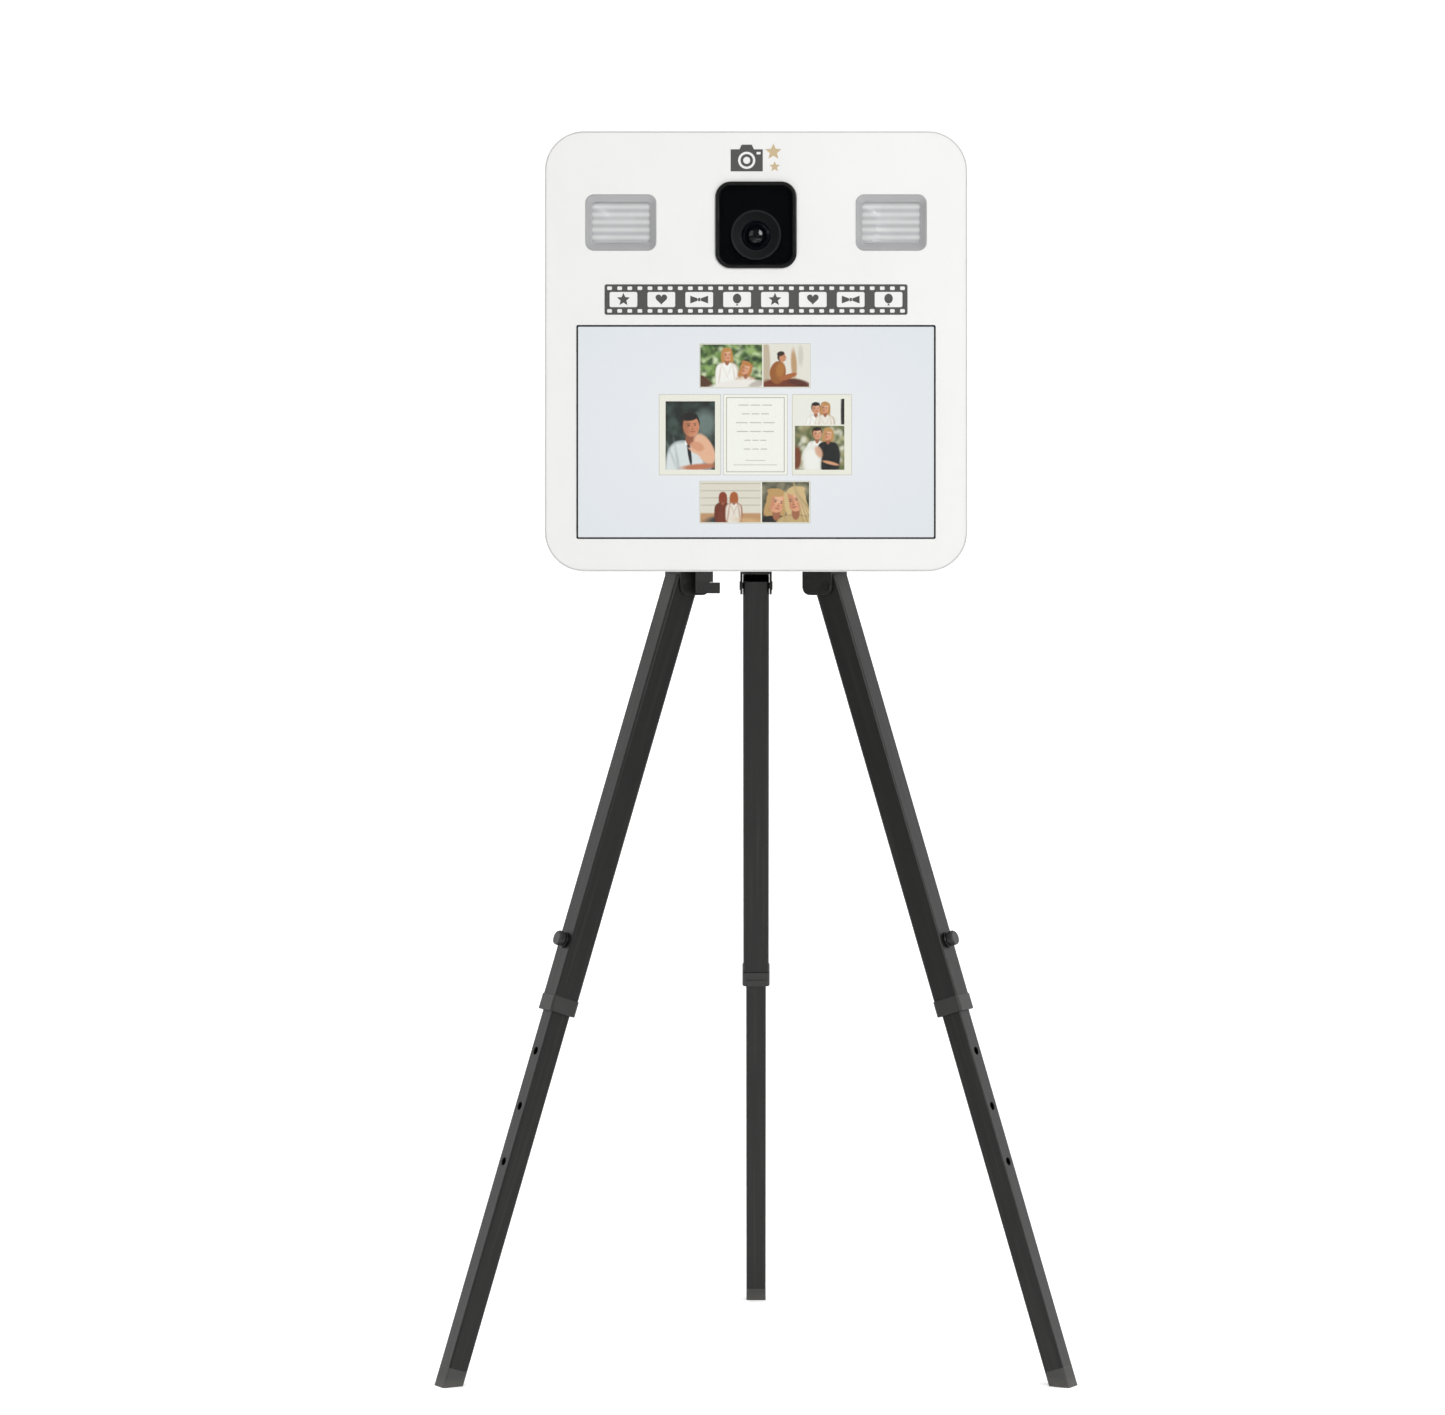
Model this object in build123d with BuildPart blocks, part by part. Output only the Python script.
from build123d import *
import math
import os

# Photo booth: a flat square head on a three-leg tripod with telescopic legs.
# Millimetres. X right, Y back, Z up; the floor is Z = 0 and the origin is the
# middle of the footprint. The head faces -Y.

# Head
head_width = 500
head_height = 521
head_depth = 200
head_corner = 47
axis_behind_face = 80  # tripod axis behind the head's face
casing_wall = 1.5
panel_thick = 2
panel_gap = 0.3
seat_flange = 12  # inside lip that the front panel lies on
rear_flange = 25  # border round the door opening
rear_flange_corner = 22
base_plate_size = (260, 186)
base_plate_thick = 3
base_plate_corner = 6

# Display
screen_size = (424.6, 252.8)
screen_bottom = 38.7  # above the head's underside
screen_corner = 2
gasket_show = 2  # black edge seen inside the opening
gasket_thick = 1
glass_overlap = 9
glass_thick = 2
module_size = (459, 296)
module_thick = 14
stack_gap = 0.3
stud_radius = 2.5
stud_nut_thick = 4
stud_inset = 1  # stud to the seat flange
stud_overhang = 1  # thread past its nut
bar_rise = 105  # display bars above and below the screen's middle
bar_width = 20
bar_thick = 2
computer_size = (120, 120, 36)
computer_corner = 8
computer_x = 0
computer_vent = (70, 3)
computer_vent_pitch = 8
computer_vent_depth = 1.5
supply_size = (64, 140, 60)
supply_corner = 2
supply_x = 168
supply_vent = (60, 3.5)
supply_vent_pitch = 9
supply_vent_depth = 1.2
vent_count = 9

# Camera
bezel_size = (96.3, 102.7)
bezel_corner = 18.5
bezel_rim = 5.3
bezel_proud = 3
bezel_tail = 11
bezel_wall = 2.2
bezel_height = 409.6
bezel_lip = 3.7
bezel_edge = 1.2
window_seat = 0.2  # window's back in front of the head's face
window_thick = 2
fascia_thick = 1.5
lens_height = 398.3
lens_rim = 2
lens_head_end = 20
lens_glass_thick = 5
lens_crown = 1.8
lens_glass_seat = 0.2
barrel_lip = 1.5
bracket_width = 110
bracket_sheet = 2
bracket_upright = 26
camera_screw_radius = 3.1
camera_screw_head = 4
camera_screw_grip = 8
camera_thread_depth = 10
lens_setback = 4  # front ring behind the head's face
lens_radius = 29.5
lens_throat = 17.5
lens_cone = 8
lens_length = 58
lens_body_radius = 27
focus_ring_length = 18
focus_ring_wall = 4
focus_ring_gap = 1.5  # behind the lens's front
focus_ribs = 36
focus_groove = (1.6, 2)
running_gap = 0.08
camera_size = (128, 96, 58)
camera_corner = 10
camera_hump = (46, 14, 65)  # width, height and side slope of the top hump
camera_hump_inset = 6

# Flash windows
flash_offset = 159.7
flash_height = 412.5
flash_size = (83.6, 66.2)
flash_corner = 9.9
flash_step_size = (76.4, 57.2)
flash_step_corner = 6
flash_step_depth = 2.4
flash_window_size = (68.8, 48.5)
flash_window_corner = 4
flash_fit = 0.2
flash_front = 0.6  # bezel's front behind the head's face
flash_collar = (4, 1.6)  # bezel's flange behind the panel: width and thickness
flash_lens_seat = 6
flash_lens_lip = 2.2
flash_lens_raise = 1.5
flash_lens_thick = 1.6
flash_depth = 9
mirror_depth = 27
mirror_wall = 1
mirror_narrowing = (0.66, 0.36)
flash_tube_radius = 2.5
flash_tube_depth = 28
flash_tube_length = 60
flash_box_depth = 62
flash_box_margin = 3
flash_box_wall = 2

# Power switch under the head's front edge
switch_left = -71.5
switch_width = 20.7
switch_height = 12.4
switch_depth = 12
switch_corner = 1.5
switch_y = -72  # from the tripod's axis
switch_stem = (6, 4, 3.5)
switch_travel = 4
switch_gap = 0.3
switch_slot_inset = 4
switch_slot_play = 1
slider_width = 28.9
slider_height = 13
slider_ribs = 5
rib_pitch = 2.4
rib_start = 1.6
rib_bite = 0.7

# Tripod
splay = 18.3  # degrees from upright
leg_azimuths = {"right": -30, "left": 210, "rear": 90}
pivot_radius = 104.4
pivot_drop = 17  # pivot below the head's underside
leg_reach = 971  # pivot to foot along the leg
upper_side = 32
upper_wall = 2
upper_corner = 3
lower_side = 25
lower_wall = 1.5
lower_corner = 2.5
upper_end = 523  # bottom of the upper tube, along the leg
plunger_along = 441.5
index_pitch = 66.5
index_radius = 5
holes_above = 2
holes_below = 4
lower_top_margin = 14
least_corner = 0.5  # inside corner of a thick-walled tube
stop_gap = 0.2
fit_gap = 0.1
screw_clearance = 0.25
nut_width = 1.85  # hexagon's radius over its screw's
nut_height = 1.6

# Leg bracket
bracket_inner = 74.5
bracket_outer = 114
ear_gap = 33
ear_thick = 2.75
bracket_plate = 3
ear_drop = 27.9
ear_corner = 10
pivot_pin_radius = 4
bracket_screw_radius = 2.5
bracket_screw_pitch = (25, 18)
bracket_screw_length = 16
screw_head_radius = 4.5
screw_sink = 0.1
sink_margin = 0.4
sink_angle = 90
pin_head_radius = 5.5
pin_head_thick = 1

# Collar and spring plunger
collar_wall = 1.2
collar_length = 18.7
collar_lip = 2.5
collar_chamfer = 0.5
collar_notch = (2, 24, 0.6)  # mould mark on the back: height, width, depth
sleeve_length = 23
plunger_base_radius = 9.5
plunger_base_thick = 3
plunger_neck_radius = 6.5
plunger_neck_length = 9.5
plunger_pin_radius = 4
plunger_shoulder_radius = 4.42
plunger_bore = 4.5
plunger_stem_radius = 2.5
plunger_lip = 1.3
plunger_grip = 2.7  # pin beyond the lower tube's outer face
plunger_base_chamfer = 0.8
plunger_pin_chamfer = 0.8
shoulder_rise = 1.5
shoulder_thick = 1
knob_gap = 1
knob_play = 0.3
knob_roof = 1
knob_edge = 1.4
knob_radius = 8.3
knob_stand = 12  # knob's end above the tube's face

# Foot and guide
foot_height = 20
plug_length = 18
guide_skirt = 8
guide_top = 2
guide_corner = 1.5
plug_corner = 1

# Rear door
door_gap = 2
door_thick = 1.5
door_return = 12
louvre_size = (60, 4)
louvre_grid = (4, 6)
louvre_pitch = (74, 10.4)
louvre_rise = 136
hinge_knuckle = 3.5
hinge_pin_radius = 1.5
hinge_length = 50
hinge_leaf = 22
hinge_leaf_thick = 1.5
hinge_spacing = 300
knuckle_relief = 0.4
knuckle_gap = 0.3
hinge_pin_overhang = 1
lock_radius = 9
lock_inset = 8  # barrel to the door's edge
lock_reach = 24
lock_face = 2
lock_rim = 2
lock_body_length = 5.5
lock_plug_radius = 5.5
lock_plug_recess = 0.5
lock_plug_tail = 1
lock_nut_thick = 3
lock_nut_margin = 3.5
key_slot = (7, 1.6)
key_slot_depth = 4
cam_thick = 2
cam_width = 18
cam_gap = 0.5
cam_pad_margin = 2
lock_slot = (36, 76)  # gap in the door's folded edge that the cam swings through

# Worked-out places
head_bottom = pivot_drop + leg_reach * math.cos(math.radians(splay))
foot_radius = pivot_radius + leg_reach * math.sin(math.radians(splay))
foot_half = lower_side / 2 / math.cos(math.radians(splay))
rear_reach = foot_radius + foot_half
front_reach = rear_reach / 2 + lower_side / 2 * math.cos(math.radians(30))
axis_y = (front_reach - rear_reach) / 2
front_y = axis_y - axis_behind_face
back_y = front_y + head_depth
mid_height = head_height / 2
screen_height = screen_bottom + screen_size[1] / 2
upper_bore = upper_side - 2 * upper_wall
lower_bore = lower_side - 2 * lower_wall
# The top of the tube meets the bracket's plate when the leg is splayed.
tube_top = (
    math.cos(math.radians(splay)) * (pivot_drop - bracket_plate)
    - math.sin(math.radians(splay)) * (bracket_outer - pivot_radius)
    - stop_gap
)
lower_top = plunger_along - holes_above * index_pitch - lower_top_margin

os.makedirs("parts", exist_ok=True)


def write(part, label):
    """Name a finished piece and write it."""
    part.label = label
    export_step(part, f"parts/{label}.step")


def facing(depth, x=0, z=0):
    """Plane `depth` behind the head's face, looking out; y is up from the underside."""
    return Plane(origin=(x, front_y + depth, head_bottom + z), x_dir=(1, 0, 0), z_dir=(0, -1, 0))


def under(z, x=0, y=0):
    """Level plane `z` above the head's underside, x and y from the tripod's axis."""
    return Plane(origin=(x, axis_y + y, head_bottom + z))


def radial(azimuth):
    """Direction from the tripod's axis out over one leg."""
    return Vector(1, 0, 0).rotate(Axis.Z, azimuth)


def down(azimuth):
    """Direction along a splayed leg, from its pivot to its foot."""
    return radial(azimuth) * math.sin(math.radians(splay)) - Vector(0, 0, math.cos(math.radians(splay)))


def outward(azimuth):
    """Direction square to a leg, away from the tripod's middle."""
    return radial(azimuth) * math.cos(math.radians(splay)) + Vector(0, 0, math.sin(math.radians(splay)))


def pivot(azimuth):
    """Centre of a leg's pivot."""
    return Vector(0, axis_y, head_bottom - pivot_drop) + radial(azimuth) * pivot_radius


def across_leg(azimuth, along):
    """Plane across a leg, `along` below its pivot: x outward, z down the leg."""
    return Plane(pivot(azimuth) + down(azimuth) * along, x_dir=outward(azimuth), z_dir=down(azimuth))


def on_leg(azimuth, along, out):
    """Plane square to a leg's outward side: x down the leg, z outward."""
    place = pivot(azimuth) + down(azimuth) * along + outward(azimuth) * out
    return Plane(place, x_dir=down(azimuth), z_dir=outward(azimuth))


def beside_leg(azimuth, aside=0):
    """Upright plane along a leg's radius through its pivot: x outward, y up."""
    tangent = radial(azimuth + 90)
    return Plane(pivot(azimuth) - tangent * aside, x_dir=radial(azimuth), z_dir=-tangent)


def under_bracket(azimuth, z, normal=(0, 0, 1)):
    """Level plane at the middle of a bracket's plate: x outward."""
    middle = radial(azimuth) * (bracket_inner + bracket_outer) / 2
    place = middle + Vector(0, axis_y, head_bottom + z)
    return Plane(place, x_dir=radial(azimuth), z_dir=normal)


# ---------------------------------------------------------------- head shell

seat_depth = panel_thick
inner_size = (head_width - 2 * casing_wall, head_height - 2 * casing_wall)
inner_corner = head_corner - casing_wall
door_opening = (inner_size[0] - 2 * rear_flange, inner_size[1] - 2 * rear_flange)

with BuildPart() as casing:
    with BuildSketch(facing(0, 0, mid_height)):
        RectangleRounded(head_width, head_height, head_corner)
        RectangleRounded(*inner_size, inner_corner, mode=Mode.SUBTRACT)
    extrude(amount=-head_depth)
    with BuildSketch(facing(seat_depth, 0, mid_height)):
        RectangleRounded(*inner_size, inner_corner)
        RectangleRounded(
            inner_size[0] - 2 * seat_flange,
            inner_size[1] - 2 * seat_flange,
            inner_corner - seat_flange,
            mode=Mode.SUBTRACT,
        )
    extrude(amount=-casing_wall)
    with BuildSketch(facing(head_depth - casing_wall, 0, mid_height)):
        RectangleRounded(*inner_size, inner_corner)
        RectangleRounded(*door_opening, rear_flange_corner, mode=Mode.SUBTRACT)
    extrude(amount=-casing_wall)
    with BuildSketch(*[under_bracket(azimuth, 0) for azimuth in leg_azimuths.values()]):
        with GridLocations(*bracket_screw_pitch, 2, 2):
            Circle(bracket_screw_radius + screw_clearance)
    extrude(amount=casing_wall, mode=Mode.SUBTRACT)
write(casing.part, "casing")

panel_size = (inner_size[0] - 2 * panel_gap, inner_size[1] - 2 * panel_gap)
with BuildPart() as front_panel:
    with BuildSketch(facing(0)):
        with Locations((0, mid_height)):
            RectangleRounded(*panel_size, inner_corner - panel_gap)
        with Locations((0, screen_height)):
            RectangleRounded(*screen_size, screen_corner, mode=Mode.SUBTRACT)
        with Locations((0, bezel_height)):
            RectangleRounded(
                bezel_size[0] - 2 * bezel_wall,
                bezel_size[1] - 2 * bezel_wall,
                bezel_corner - bezel_wall,
                mode=Mode.SUBTRACT,
            )
        with Locations((-flash_offset, flash_height), (flash_offset, flash_height)):
            RectangleRounded(*flash_size, flash_corner, mode=Mode.SUBTRACT)
    extrude(amount=-panel_thick)
write(front_panel.part, "front_panel")

with BuildPart() as base_plate:
    with BuildSketch(under(casing_wall, 0, head_depth / 2 - axis_behind_face)):
        RectangleRounded(*base_plate_size, base_plate_corner)
    extrude(amount=base_plate_thick)
    with BuildSketch(*[under_bracket(azimuth, 0) for azimuth in leg_azimuths.values()]):
        with GridLocations(*bracket_screw_pitch, 2, 2):
            Circle(bracket_screw_radius + screw_clearance)
    extrude(amount=casing_wall + base_plate_thick, mode=Mode.SUBTRACT)
write(base_plate.part, "base_plate")

# ------------------------------------------------------------------ rear door

door_size = (door_opening[0] - 2 * door_gap, door_opening[1] - 2 * door_gap)
door_corner = rear_flange_corner - door_gap
lock_x = -door_size[0] / 2 + lock_radius + lock_inset
with BuildPart() as rear_door:
    with BuildSketch(facing(head_depth, 0, mid_height)):
        RectangleRounded(*door_size, door_corner)
    extrude(amount=door_thick)
    with BuildSketch(facing(head_depth - door_thick, 0, mid_height)):
        RectangleRounded(*door_size, door_corner)
        RectangleRounded(
            door_size[0] - 2 * door_thick,
            door_size[1] - 2 * door_thick,
            door_corner - door_thick,
            mode=Mode.SUBTRACT,
        )
        with Locations((lock_x, 0)):
            Rectangle(*lock_slot, mode=Mode.SUBTRACT)
    extrude(amount=door_return)
    with BuildSketch(facing(head_depth, 0, mid_height)):
        with Locations((0, louvre_rise), (0, -louvre_rise)):
            with GridLocations(*louvre_pitch, *louvre_grid):
                SlotOverall(*louvre_size)
        with Locations((lock_x, 0)):
            Circle(lock_radius + fit_gap)
    extrude(amount=door_thick, mode=Mode.SUBTRACT)
write(rear_door.part, "rear_door")

# Two butt hinges stand on the back of the head, over the gap beside the door.
hinge_x = door_opening[0] / 2 - door_gap / 2
hinge_y = back_y + hinge_knuckle + fit_gap
knuckle_length = hinge_length / 3
hinge_heights = (mid_height - hinge_spacing / 2, mid_height + hinge_spacing / 2)


def hinge_plane(z):
    """Level plane on the hinge line."""
    return Plane(origin=(hinge_x, hinge_y, head_bottom + z))


def hinge_side(side, spans):
    """One leaf of both hinges with its knuckles, on the +1 or -1 side of the line."""
    leaf_align = (Align.MIN if side > 0 else Align.MAX, Align.MIN)
    with BuildPart() as leaves:
        for height in hinge_heights:
            start = height - hinge_length / 2
            with BuildSketch(hinge_plane(start)):
                with Locations((0, -hinge_knuckle - fit_gap)):
                    Rectangle(hinge_leaf, hinge_leaf_thick, align=leaf_align)
                Circle(hinge_knuckle + knuckle_relief, mode=Mode.SUBTRACT)
            extrude(amount=hinge_length)
            for low, high in spans:
                with BuildSketch(hinge_plane(start + low)):
                    Circle(hinge_knuckle)
                    with Locations((0, -hinge_knuckle - fit_gap)):
                        Rectangle(2 * hinge_knuckle, hinge_leaf_thick, align=leaf_align)
                    Circle(hinge_pin_radius + running_gap, mode=Mode.SUBTRACT)
                extrude(amount=high - low)
    return leaves


frame_spans = ((0, knuckle_length - knuckle_gap), (2 * knuckle_length + knuckle_gap, hinge_length))
door_spans = ((knuckle_length, 2 * knuckle_length),)
hinge_frame_leaves = hinge_side(1, frame_spans)
write(hinge_frame_leaves.part, "hinge_frame_leaves")
hinge_door_leaves = hinge_side(-1, door_spans)
write(hinge_door_leaves.part, "hinge_door_leaves")

with BuildPart() as hinge_pins:
    pin_starts = [height - hinge_length / 2 - hinge_pin_overhang for height in hinge_heights]
    with BuildSketch(*[hinge_plane(start) for start in pin_starts]):
        Circle(hinge_pin_radius)
    extrude(amount=hinge_length + 2 * hinge_pin_overhang)
write(hinge_pins.part, "hinge_pins")

# Quarter-turn lock: its cam stands upright, clear of the flange, when it is open.
cam_depth = head_depth - lock_body_length - cam_gap
flange_inside = head_depth - casing_wall
with BuildPart() as lock_housing:
    with BuildSketch(facing(head_depth, lock_x, mid_height)):
        Circle(lock_radius + lock_rim)
    extrude(amount=-lock_face)
    with BuildSketch(facing(head_depth, lock_x, mid_height)):
        Circle(lock_radius)
    extrude(amount=lock_body_length)
    with BuildSketch(facing(head_depth + lock_face, lock_x, mid_height)):
        Circle(lock_plug_radius + running_gap)
    extrude(amount=lock_face + lock_body_length, mode=Mode.SUBTRACT)
write(lock_housing.part, "lock_housing")

with BuildPart() as lock_nut:
    with BuildSketch(facing(head_depth - door_thick, lock_x, mid_height)):
        RegularPolygon(lock_radius + lock_nut_margin, 6)
        Circle(lock_radius + fit_gap / 2, mode=Mode.SUBTRACT)
    extrude(amount=lock_nut_thick)
write(lock_nut.part, "lock_nut")

plug_front = head_depth + lock_face - lock_plug_recess
with BuildPart() as lock_plug:
    with BuildSketch(facing(plug_front, lock_x, mid_height)):
        Circle(lock_plug_radius)
    extrude(amount=lock_face + lock_body_length + cam_thick + lock_plug_tail)
    with BuildSketch(facing(plug_front, lock_x, mid_height)):
        SlotOverall(*key_slot, rotation=90)
    extrude(amount=key_slot_depth, mode=Mode.SUBTRACT)
write(lock_plug.part, "lock_plug")

with BuildPart() as lock_cam:
    with BuildSketch(facing(cam_depth, lock_x, mid_height)):
        with Locations((0, lock_reach / 2)):
            SlotCenterToCenter(lock_reach, cam_width, rotation=90)
    extrude(amount=cam_thick)
    with BuildSketch(facing(flange_inside - panel_gap, lock_x, mid_height + lock_reach)):
        Circle(cam_width / 2 - cam_pad_margin)
    extrude(amount=flange_inside - panel_gap - cam_depth + cam_thick / 2)
    with BuildSketch(facing(cam_depth, lock_x, mid_height)):
        Circle(lock_plug_radius + fit_gap / 2)
    extrude(amount=cam_thick, mode=Mode.SUBTRACT)
write(lock_cam.part, "lock_cam")

# -------------------------------------------------------------------- display

glass_size = (screen_size[0] + 2 * glass_overlap, screen_size[1] + 2 * glass_overlap)
glass_depth = panel_thick + gasket_thick
module_depth = glass_depth + glass_thick + stack_gap
bar_depth = module_depth + module_thick + stack_gap
stud_x = inner_size[0] / 2 - seat_flange - stud_radius - stud_inset
stud_places = [(x, screen_height + z) for x in (-stud_x, stud_x) for z in (-bar_rise, bar_rise)]

with BuildPart() as display_gasket:
    with BuildSketch(facing(panel_thick, 0, screen_height)):
        RectangleRounded(*glass_size, screen_corner)
        RectangleRounded(
            screen_size[0] - 2 * gasket_show,
            screen_size[1] - 2 * gasket_show,
            screen_corner / 2,
            mode=Mode.SUBTRACT,
        )
    extrude(amount=-gasket_thick)
write(display_gasket.part, "display_gasket")

with BuildPart() as display_glass:
    with BuildSketch(facing(glass_depth, 0, screen_height)):
        RectangleRounded(*glass_size, screen_corner)
    extrude(amount=-glass_thick)
write(display_glass.part, "display_glass")

with BuildPart() as display_panel:
    with BuildSketch(facing(module_depth, 0, screen_height)):
        RectangleRounded(*module_size, screen_corner)
    extrude(amount=-module_thick)
write(display_panel.part, "display_panel")

with BuildPart() as display_bars:
    with BuildSketch(facing(bar_depth, 0, screen_height)):
        with Locations((0, -bar_rise), (0, bar_rise)):
            Rectangle(2 * stud_x + bar_width, bar_width)
            with GridLocations(2 * stud_x, 0, 2, 1):
                Circle(stud_radius + fit_gap, mode=Mode.SUBTRACT)
    extrude(amount=-bar_thick)
write(display_bars.part, "display_bars")

with BuildPart() as display_studs:
    with BuildSketch(facing(panel_thick)):
        with Locations(*stud_places):
            Circle(stud_radius)
    extrude(amount=-(bar_depth + bar_thick + stud_nut_thick + stud_overhang - panel_thick))
write(display_studs.part, "display_studs")

with BuildPart() as display_nuts:
    with BuildSketch(facing(bar_depth + bar_thick)):
        with Locations(*stud_places):
            RegularPolygon(2 * stud_radius, 6)
            Circle(stud_radius + fit_gap / 2, mode=Mode.SUBTRACT)
    extrude(amount=-stud_nut_thick)
write(display_nuts.part, "display_nuts")

with BuildPart() as mini_computer:
    with BuildSketch(facing(bar_depth + bar_thick, computer_x, screen_height)):
        RectangleRounded(computer_size[0], computer_size[1], computer_corner)
    extrude(amount=-computer_size[2])
    with BuildSketch(facing(bar_depth + bar_thick + computer_size[2], computer_x, screen_height)):
        with GridLocations(0, computer_vent_pitch, 1, vent_count):
            SlotOverall(*computer_vent)
    extrude(amount=computer_vent_depth, mode=Mode.SUBTRACT)
write(mini_computer.part, "mini_computer")

with BuildPart() as power_supply:
    with BuildSketch(under(casing_wall, supply_x, head_depth / 2 - axis_behind_face)):
        RectangleRounded(supply_size[0], supply_size[1], supply_corner)
    extrude(amount=supply_size[2])
    with BuildSketch(under(casing_wall + supply_size[2], supply_x, head_depth / 2 - axis_behind_face)):
        with GridLocations(0, supply_vent_pitch, 1, vent_count):
            SlotOverall(*supply_vent)
    extrude(amount=-supply_vent_depth, mode=Mode.SUBTRACT)
write(power_supply.part, "power_supply")

# --------------------------------------------------------------------- camera

recess_size = (bezel_size[0] - 2 * bezel_rim, bezel_size[1] - 2 * bezel_rim)
recess_corner = bezel_corner - bezel_rim
window_size = (bezel_size[0] - 2 * bezel_lip, bezel_size[1] - 2 * bezel_lip)
window_corner = bezel_corner - bezel_lip
tail_size = (bezel_size[0] - 2 * bezel_wall - fit_gap, bezel_size[1] - 2 * bezel_wall - fit_gap)

with BuildPart() as camera_bezel:
    with BuildSketch(facing(-bezel_proud, 0, bezel_height)):
        RectangleRounded(*bezel_size, bezel_corner)
    extrude(amount=-bezel_proud)
    fillet(camera_bezel.edges().group_by(Axis.Y)[0], bezel_edge)
    with BuildSketch(facing(0, 0, bezel_height)):
        RectangleRounded(*tail_size, bezel_corner - bezel_wall)
    extrude(amount=-bezel_tail)
    with BuildSketch(facing(-bezel_proud, 0, bezel_height)):
        RectangleRounded(*window_size, window_corner)
    extrude(amount=-(bezel_proud - window_seat), mode=Mode.SUBTRACT)
    with BuildSketch(facing(-bezel_proud, 0, bezel_height)):
        RectangleRounded(*recess_size, recess_corner)
    extrude(amount=-(bezel_proud + bezel_tail), mode=Mode.SUBTRACT)
write(camera_bezel.part, "camera_bezel")

with BuildPart() as camera_window:
    with BuildSketch(facing(-window_seat, 0, bezel_height)):
        RectangleRounded(window_size[0] - fit_gap, window_size[1] - fit_gap, window_corner)
    extrude(amount=window_thick)
write(camera_window.part, "camera_window")

with BuildPart() as camera_fascia:
    with BuildSketch(facing(bezel_tail - fascia_thick)):
        with Locations((0, bezel_height)):
            RectangleRounded(recess_size[0] - fit_gap, recess_size[1] - fit_gap, recess_corner)
        with Locations((0, lens_height)):
            Circle(lens_radius + panel_gap, mode=Mode.SUBTRACT)
    extrude(amount=-fascia_thick)
write(camera_fascia.part, "camera_fascia")

# Lens profiles: x is the radius and y the depth behind the head's face.
lens_plane = Plane(origin=(0, front_y, head_bottom + lens_height), x_dir=(1, 0, 0), z_dir=(0, 0, 1))
lens_axis = Axis(origin=lens_plane.origin, direction=(0, 1, 0))
throat_depth = lens_setback + lens_cone
glass_back = throat_depth + lens_glass_thick
lens_end = lens_setback + lens_length

with BuildPart() as lens_barrel:
    with BuildSketch(lens_plane):
        with BuildLine():
            Polyline(
                (lens_radius - lens_rim, lens_setback),
                (lens_radius, lens_setback),
                (lens_radius, lens_head_end),
                (lens_body_radius, lens_head_end),
                (lens_body_radius, lens_end),
                (lens_throat - barrel_lip, lens_end),
                (lens_throat - barrel_lip, glass_back),
                (lens_throat, glass_back),
                (lens_throat, throat_depth),
                close=True,
            )
        make_face()
    revolve(axis=lens_axis)
write(lens_barrel.part, "lens_barrel")

with BuildPart() as lens_glass:
    with BuildSketch(lens_plane):
        with BuildLine():
            Polyline(
                (lens_throat - running_gap, throat_depth + lens_crown),
                (lens_throat - running_gap, glass_back - running_gap),
                (0, glass_back - running_gap),
                (0, throat_depth + lens_glass_seat),
            )
            TangentArc(
                (0, throat_depth + lens_glass_seat),
                (lens_throat - running_gap, throat_depth + lens_crown),
                tangent=(1, 0),
            )
        make_face()
    revolve(axis=lens_axis)
write(lens_glass.part, "lens_glass")

with BuildPart() as focus_ring:
    with BuildSketch(facing(lens_head_end + focus_ring_gap, 0, lens_height)):
        Circle(lens_body_radius + focus_ring_wall)
        Circle(lens_body_radius + running_gap, mode=Mode.SUBTRACT)
        with PolarLocations(lens_body_radius + focus_ring_wall, focus_ribs):
            Rectangle(*focus_groove, mode=Mode.SUBTRACT)
    extrude(amount=-focus_ring_length)
write(focus_ring.part, "focus_ring")

camera_bottom = lens_height - camera_size[1] / 2
camera_middle = lens_end + camera_size[2] / 2
with BuildPart() as camera_body:
    with BuildSketch(facing(lens_end, 0, lens_height)):
        RectangleRounded(camera_size[0], camera_size[1], camera_corner)
    extrude(amount=-camera_size[2])
    with BuildSketch(facing(lens_end + camera_hump_inset, 0, lens_height + camera_size[1] / 2)):
        Trapezoid(*camera_hump, align=(Align.CENTER, Align.MIN))
    extrude(amount=-(camera_size[2] - 2 * camera_hump_inset))
    with BuildSketch(under(camera_bottom, 0, camera_middle - axis_behind_face)):
        Circle(camera_screw_radius + fit_gap)
    extrude(amount=camera_thread_depth, mode=Mode.SUBTRACT)
write(camera_body.part, "camera_body")

with BuildPart() as camera_bracket:
    with BuildSketch(facing(panel_thick, 0, camera_bottom)):
        Rectangle(bracket_width, bracket_upright, align=(Align.CENTER, Align.MAX))
    extrude(amount=-bracket_sheet)
    with BuildSketch(facing(panel_thick, 0, camera_bottom)):
        Rectangle(bracket_width, bracket_sheet, align=(Align.CENTER, Align.MAX))
    extrude(amount=-(lens_end + camera_size[2] - panel_thick))
    with BuildSketch(under(camera_bottom, 0, camera_middle - axis_behind_face)):
        Circle(camera_screw_radius + fit_gap)
    extrude(amount=-bracket_sheet, mode=Mode.SUBTRACT)
write(camera_bracket.part, "camera_bracket")

with BuildPart() as camera_screw:
    with BuildSketch(under(camera_bottom - bracket_sheet, 0, camera_middle - axis_behind_face)):
        Circle(3 * camera_screw_radius)
    extrude(amount=-camera_screw_head)
    with BuildSketch(under(camera_bottom - bracket_sheet, 0, camera_middle - axis_behind_face)):
        Circle(camera_screw_radius)
    extrude(amount=bracket_sheet + camera_screw_grip)
write(camera_screw.part, "camera_screw")

# -------------------------------------------------------------- flash windows

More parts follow.
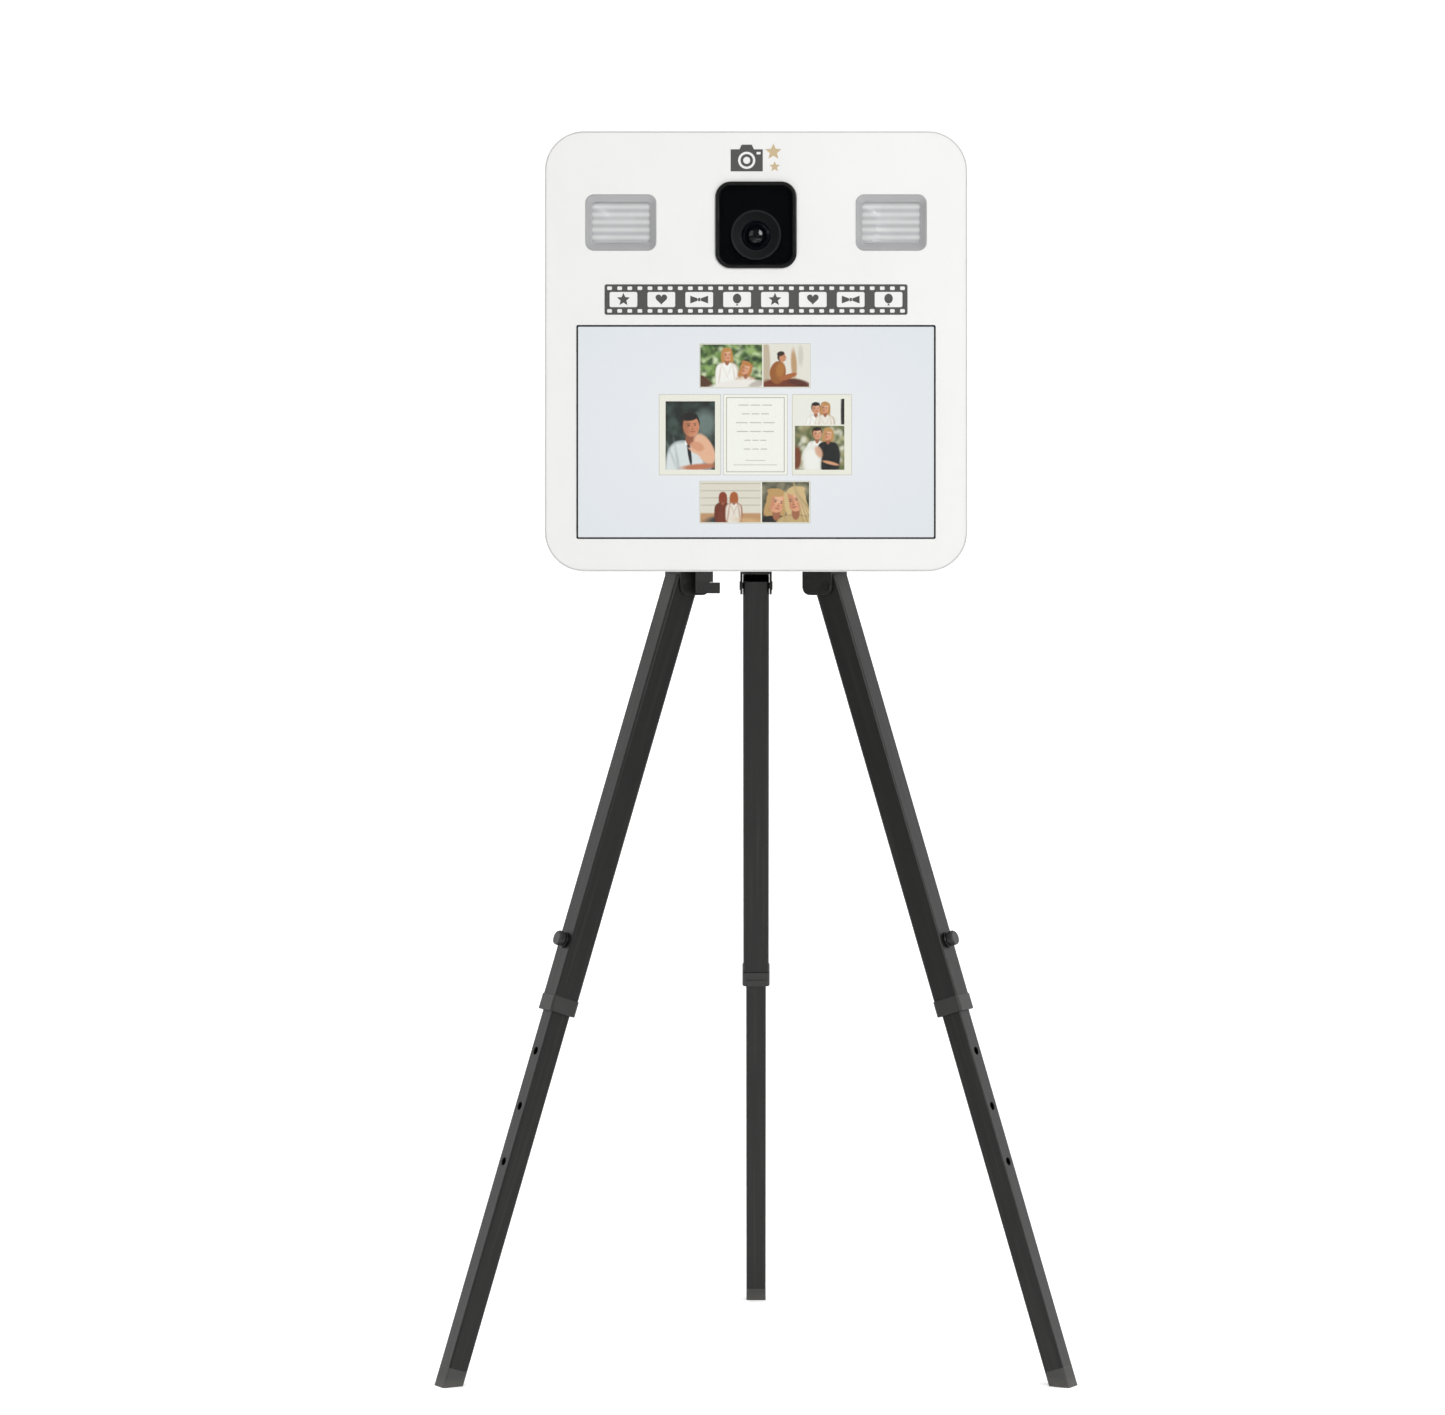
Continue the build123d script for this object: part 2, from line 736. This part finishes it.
flash_places = ((-flash_offset, flash_height), (flash_offset, flash_height))


def flash_outline(depth, length, size, corner, mode=Mode.ADD):
    """The same rounded rectangle behind both flash openings, `length` deep."""
    with BuildSketch(facing(depth)) as outline:
        with Locations(*flash_places):
            RectangleRounded(*size, corner)
    extrude(outline.sketch, amount=-length, mode=mode)


def grown(size, margin):
    """A width and height with a margin added on every side."""
    return (size[0] + 2 * margin, size[1] + 2 * margin)


flash_pocket = grown(flash_window_size, flash_lens_lip + flash_fit)
with BuildPart() as flash_bezels:
    flash_outline(
        flash_front, flash_depth - flash_front, grown(flash_size, -flash_fit), flash_corner - flash_fit
    )
    flash_outline(
        panel_thick, flash_collar[1], grown(flash_size, flash_collar[0]), flash_corner + flash_collar[0]
    )
    flash_outline(flash_front, flash_step_depth, flash_step_size, flash_step_corner, Mode.SUBTRACT)
    flash_outline(flash_front, flash_depth, flash_window_size, flash_window_corner, Mode.SUBTRACT)
    flash_outline(flash_lens_seat, flash_depth, flash_pocket, flash_window_corner + 1, Mode.SUBTRACT)
write(flash_bezels.part, "flash_bezels")

with BuildPart() as flash_lenses:
    flash_outline(
        flash_lens_seat - flash_lens_raise,
        flash_lens_thick,
        grown(flash_window_size, -flash_fit),
        flash_window_corner - flash_fit,
    )
    flash_outline(
        flash_lens_seat + fit_gap,
        flash_lens_lip,
        grown(flash_pocket, -flash_fit),
        flash_window_corner + 1 - flash_fit,
    )
write(flash_lenses.part, "flash_lenses")

mouth = grown(flash_window_size, -mirror_wall)


def trough(x, inset, start):
    """A tapered block behind one flash window, or the hollow inside it."""
    with BuildSketch(facing(start, x, flash_height)) as front:
        Rectangle(mouth[0] - 2 * inset, mouth[1] - 2 * inset)
    with BuildSketch(facing(flash_depth + mirror_depth - inset, x, flash_height)) as back:
        Rectangle(mouth[0] * mirror_narrowing[0] - 2 * inset, mouth[1] * mirror_narrowing[1] - 2 * inset)
    loft([front.sketch, back.sketch], mode=Mode.SUBTRACT if inset else Mode.ADD)


def across_tube(x):
    """Plane across one flash tube, at its middle."""
    return Plane(origin=(x, front_y + flash_tube_depth, head_bottom + flash_height), z_dir=(1, 0, 0))


with BuildPart() as flash_reflectors:
    for x, _ in flash_places:
        trough(x, 0, flash_depth)
        trough(x, mirror_wall, flash_depth)
        with BuildSketch(across_tube(x)):
            Circle(flash_tube_radius + fit_gap / 2)
        extrude(amount=mouth[0], both=True, mode=Mode.SUBTRACT)
write(flash_reflectors.part, "flash_reflectors")

with BuildPart() as flash_tubes:
    for x, _ in flash_places:
        with BuildSketch(across_tube(x)):
            Circle(flash_tube_radius)
        extrude(amount=flash_tube_length / 2, both=True)
write(flash_tubes.part, "flash_tubes")

with BuildPart() as flash_housings:
    flash_outline(flash_depth, flash_box_depth, grown(flash_size, flash_box_margin), flash_corner)
    flash_outline(
        flash_depth,
        flash_box_depth - flash_box_wall,
        grown(flash_size, flash_box_margin - flash_box_wall),
        flash_corner - flash_box_wall,
        Mode.SUBTRACT,
    )
write(flash_housings.part, "flash_housings")

# --------------------------------------------------------------- power switch


def switch_box(left, right, top, height):
    """A block of the switch, from x left to right, hanging from `top`."""
    with BuildSketch(under(top, (left + right) / 2, switch_y)) as outline:
        RectangleRounded(right - left, switch_depth, switch_corner)
    extrude(outline.sketch, amount=-height)


slider_top = -switch_height - switch_gap
with BuildPart() as switch_housing:
    switch_box(switch_left, switch_left + switch_width, 0, switch_height)
    with BuildSketch(under(-switch_height, switch_left + switch_slot_inset, switch_y)):
        Rectangle(
            switch_stem[0] + switch_travel + switch_slot_play,
            switch_stem[1] + switch_slot_play,
            align=(Align.MIN, Align.CENTER),
        )
    extrude(amount=switch_stem[2] + switch_slot_play, mode=Mode.SUBTRACT)
write(switch_housing.part, "switch_housing")

with BuildPart() as switch_slider:
    switch_box(switch_left, switch_left + slider_width, slider_top, slider_height)
    with BuildSketch(under(slider_top, switch_left + switch_slot_inset + switch_slot_play / 2, switch_y)):
        Rectangle(switch_stem[0], switch_stem[1], align=(Align.MIN, Align.CENTER))
    extrude(amount=switch_stem[2])
    for rib in range(slider_ribs):
        rib_top = slider_top - rib_start - rib * rib_pitch
        with BuildSketch(under(rib_top, switch_left, switch_y - switch_depth / 2)):
            Rectangle(4 * slider_width, 2 * rib_bite)
        extrude(amount=-rib_pitch / 2, mode=Mode.SUBTRACT)
write(switch_slider.part, "switch_slider")

# ------------------------------------------------------ brackets and fasteners

azimuths = leg_azimuths.values()
bracket_length = bracket_outer - bracket_inner
bracket_width_out = ear_gap + 2 * ear_thick
ear_middle = (bracket_inner + bracket_outer) / 2 - pivot_radius

with BuildPart() as leg_brackets:
    with BuildSketch(*[beside_leg(azimuth) for azimuth in azimuths]) as ear_outline:
        with Locations((ear_middle, pivot_drop)):
            Rectangle(bracket_length, ear_drop, align=(Align.CENTER, Align.MAX))
        fillet(ear_outline.vertices().group_by(Axis.Y)[0], ear_corner)
    extrude(amount=bracket_width_out / 2, both=True)
    with BuildSketch(*[beside_leg(azimuth) for azimuth in azimuths]):
        with Locations((ear_middle, pivot_drop - bracket_plate)):
            Rectangle(2 * bracket_length, ear_drop, align=(Align.CENTER, Align.MAX))
    extrude(amount=ear_gap / 2, both=True, mode=Mode.SUBTRACT)
    with BuildSketch(*[beside_leg(azimuth) for azimuth in azimuths]):
        Circle(pivot_pin_radius + running_gap)
    extrude(amount=bracket_width_out, both=True, mode=Mode.SUBTRACT)
    for azimuth in azimuths:
        with Locations(under_bracket(azimuth, -bracket_plate, (0, 0, -1))):
            with GridLocations(*bracket_screw_pitch, 2, 2):
                CounterSinkHole(
                    bracket_screw_radius + screw_clearance,
                    screw_head_radius + sink_margin,
                    bracket_plate,
                    sink_angle,
                )
write(leg_brackets.part, "leg_brackets")

with BuildPart() as bracket_screws:
    with BuildSketch(*[under_bracket(azimuth, -bracket_plate + screw_sink) for azimuth in azimuths]):
        with GridLocations(*bracket_screw_pitch, 2, 2):
            Circle(screw_head_radius)
    extrude(amount=screw_head_radius - bracket_screw_radius, taper=sink_angle / 2)
    with BuildSketch(*[under_bracket(azimuth, -bracket_plate + screw_sink) for azimuth in azimuths]):
        with GridLocations(*bracket_screw_pitch, 2, 2):
            Circle(bracket_screw_radius)
    extrude(amount=bracket_screw_length)
write(bracket_screws.part, "bracket_screws")

with BuildPart() as bracket_nuts:
    with BuildSketch(*[under_bracket(azimuth, casing_wall + base_plate_thick) for azimuth in azimuths]):
        with GridLocations(*bracket_screw_pitch, 2, 2):
            RegularPolygon(nut_width * bracket_screw_radius, 6)
            Circle(bracket_screw_radius + fit_gap / 2, mode=Mode.SUBTRACT)
    extrude(amount=nut_height * bracket_screw_radius)
write(bracket_nuts.part, "bracket_nuts")

with BuildPart() as pivot_pins:
    with BuildSketch(*[beside_leg(azimuth) for azimuth in azimuths]):
        Circle(pivot_pin_radius)
    extrude(amount=bracket_width_out / 2, both=True)
    for side in (-1, 1):
        with BuildSketch(*[beside_leg(azimuth, side * bracket_width_out / 2) for azimuth in azimuths]):
            Circle(pin_head_radius)
        extrude(amount=side * pin_head_thick)
write(pivot_pins.part, "pivot_pins")

# ----------------------------------------------------------------------- legs


def square_tube(plane, side, wall, corner, length):
    """A square tube that starts on a plane and runs along its normal."""
    bore = side - 2 * wall
    with BuildSketch(plane) as section:
        RectangleRounded(side, side, corner)
        RectangleRounded(bore, bore, max(corner - wall, least_corner), mode=Mode.SUBTRACT)
    extrude(section.sketch, amount=length)


def far_face(part, azimuth, end):
    """The face of a part furthest out from its leg's axis, or with end 0 the furthest in."""
    return part.faces().sort_by(Axis(pivot(azimuth), outward(azimuth)))[end]


knob_out = upper_side / 2
for leg, azimuth in leg_azimuths.items():
    with BuildPart() as upper_tube:
        square_tube(
            across_leg(azimuth, -tube_top), upper_side, upper_wall, upper_corner, upper_end + tube_top
        )
        with BuildSketch(beside_leg(azimuth)):
            Circle(pivot_pin_radius + running_gap)
        extrude(amount=upper_side, both=True, mode=Mode.SUBTRACT)
        with BuildSketch(on_leg(azimuth, plunger_along, upper_side / 2)):
            Circle(plunger_pin_radius + fit_gap)
        extrude(amount=-2 * upper_wall, mode=Mode.SUBTRACT)
    write(upper_tube.part, f"{leg}_upper_tube")

    sleeve_side = upper_bore - fit_gap
    sleeve_bore = lower_side + 2 * stack_gap
    collar_side = upper_side + 2 * collar_wall
    with BuildPart() as collar:
        with BuildSketch(across_leg(azimuth, upper_end + collar_lip - collar_length)):
            RectangleRounded(collar_side, collar_side, upper_corner + collar_wall)
        extrude(amount=collar_length)
        chamfer(collar.faces().sort_by(Axis(pivot(azimuth), down(azimuth)))[-1].edges(), collar_chamfer)
        chamfer(collar.faces().sort_by(Axis(pivot(azimuth), down(azimuth)))[0].edges(), collar_chamfer)
        with BuildSketch(across_leg(azimuth, upper_end + collar_lip - collar_length)):
            RectangleRounded(upper_side + fit_gap, upper_side + fit_gap, upper_corner)
        extrude(amount=collar_length - collar_lip, mode=Mode.SUBTRACT)
        square_tube(
            across_leg(azimuth, upper_end - sleeve_length),
            sleeve_side,
            (sleeve_side - sleeve_bore) / 2,
            upper_corner - upper_wall,
            sleeve_length,
        )
        with BuildSketch(across_leg(azimuth, upper_end - fit_gap)):
            RectangleRounded(sleeve_bore, sleeve_bore, lower_corner)
        extrude(amount=2 * collar_lip, mode=Mode.SUBTRACT)
        with BuildSketch(on_leg(azimuth, upper_end + collar_lip - collar_length / 2, -collar_side / 2)):
            Rectangle(collar_notch[0], collar_notch[1])
        extrude(amount=collar_notch[2], mode=Mode.SUBTRACT)
    write(collar.part, f"{leg}_collar")

    with BuildPart() as plunger_housing:
        with BuildSketch(on_leg(azimuth, plunger_along, knob_out)):
            Circle(plunger_base_radius)
        extrude(amount=plunger_base_thick)
        chamfer(far_face(plunger_housing, azimuth, -1).edges(), plunger_base_chamfer)
        with BuildSketch(on_leg(azimuth, plunger_along, knob_out)):
            Circle(plunger_neck_radius)
        extrude(amount=plunger_neck_length)
        with BuildSketch(on_leg(azimuth, plunger_along, knob_out)):
            Circle(plunger_bore)
        extrude(amount=plunger_neck_length - plunger_lip, mode=Mode.SUBTRACT)
        with BuildSketch(on_leg(azimuth, plunger_along, knob_out)):
            Circle(plunger_stem_radius + fit_gap)
        extrude(amount=plunger_neck_length, mode=Mode.SUBTRACT)
    write(plunger_housing.part, f"{leg}_plunger_housing")

    tip_out = lower_side / 2 - plunger_grip
    shoulder_out = knob_out + shoulder_rise
    knob_bottom = knob_out + plunger_base_thick + knob_gap
    knob_top = knob_out + knob_stand
    with BuildPart() as plunger:
        with BuildSketch(on_leg(azimuth, plunger_along, knob_bottom)):
            Circle(knob_radius)
        extrude(amount=knob_top - knob_bottom)
        fillet(far_face(plunger, azimuth, -1).edges(), knob_edge)
        with BuildSketch(on_leg(azimuth, plunger_along, knob_bottom)):
            Circle(plunger_neck_radius + knob_play)
        extrude(amount=knob_out + plunger_neck_length + knob_play - knob_bottom, mode=Mode.SUBTRACT)
        with BuildSketch(on_leg(azimuth, plunger_along, shoulder_out)):
            Circle(plunger_stem_radius)
        extrude(amount=knob_top - knob_roof - shoulder_out)
        with BuildSketch(on_leg(azimuth, plunger_along, shoulder_out)):
            Circle(plunger_shoulder_radius)
        extrude(amount=shoulder_thick)
        with BuildSketch(on_leg(azimuth, plunger_along, tip_out)):
            Circle(plunger_pin_radius)
        extrude(amount=shoulder_out - tip_out)
        chamfer(far_face(plunger, azimuth, 0).edges(), plunger_pin_chamfer)
    write(plunger.part, f"{leg}_plunger")

    tube_end = leg_reach - foot_height
    with BuildPart() as lower_tube:
        square_tube(
            across_leg(azimuth, lower_top), lower_side, lower_wall, lower_corner, tube_end - lower_top
        )
        with BuildSketch(on_leg(azimuth, plunger_along, lower_side / 2)):
            with Locations(*[(step * index_pitch, 0) for step in range(-holes_above, holes_below + 1)]):
                Circle(index_radius)
        extrude(amount=-2 * lower_wall, mode=Mode.SUBTRACT)
    write(lower_tube.part, f"{leg}_lower_tube")

    guide_side = upper_bore - 2 * stack_gap
    with BuildPart() as tube_guide:
        with BuildSketch(across_leg(azimuth, lower_top - guide_top)):
            RectangleRounded(guide_side, guide_side, guide_corner)
        extrude(amount=guide_top + guide_skirt)
        with BuildSketch(across_leg(azimuth, lower_top)):
            RectangleRounded(lower_side + fit_gap, lower_side + fit_gap, lower_corner)
            RectangleRounded(lower_bore - fit_gap, lower_bore - fit_gap, plug_corner, mode=Mode.SUBTRACT)
        extrude(amount=guide_skirt, mode=Mode.SUBTRACT)
    write(tube_guide.part, f"{leg}_tube_guide")

    with BuildPart() as foot_cap:
        with BuildSketch(across_leg(azimuth, tube_end)):
            RectangleRounded(lower_side, lower_side, lower_corner)
        extrude(amount=2 * foot_height)
        with BuildSketch(across_leg(azimuth, tube_end - plug_length)):
            RectangleRounded(lower_bore - fit_gap, lower_bore - fit_gap, plug_corner)
        extrude(amount=plug_length)
        split(bisect_by=Plane.XY, keep=Keep.TOP)
    write(foot_cap.part, f"{leg}_foot_cap")
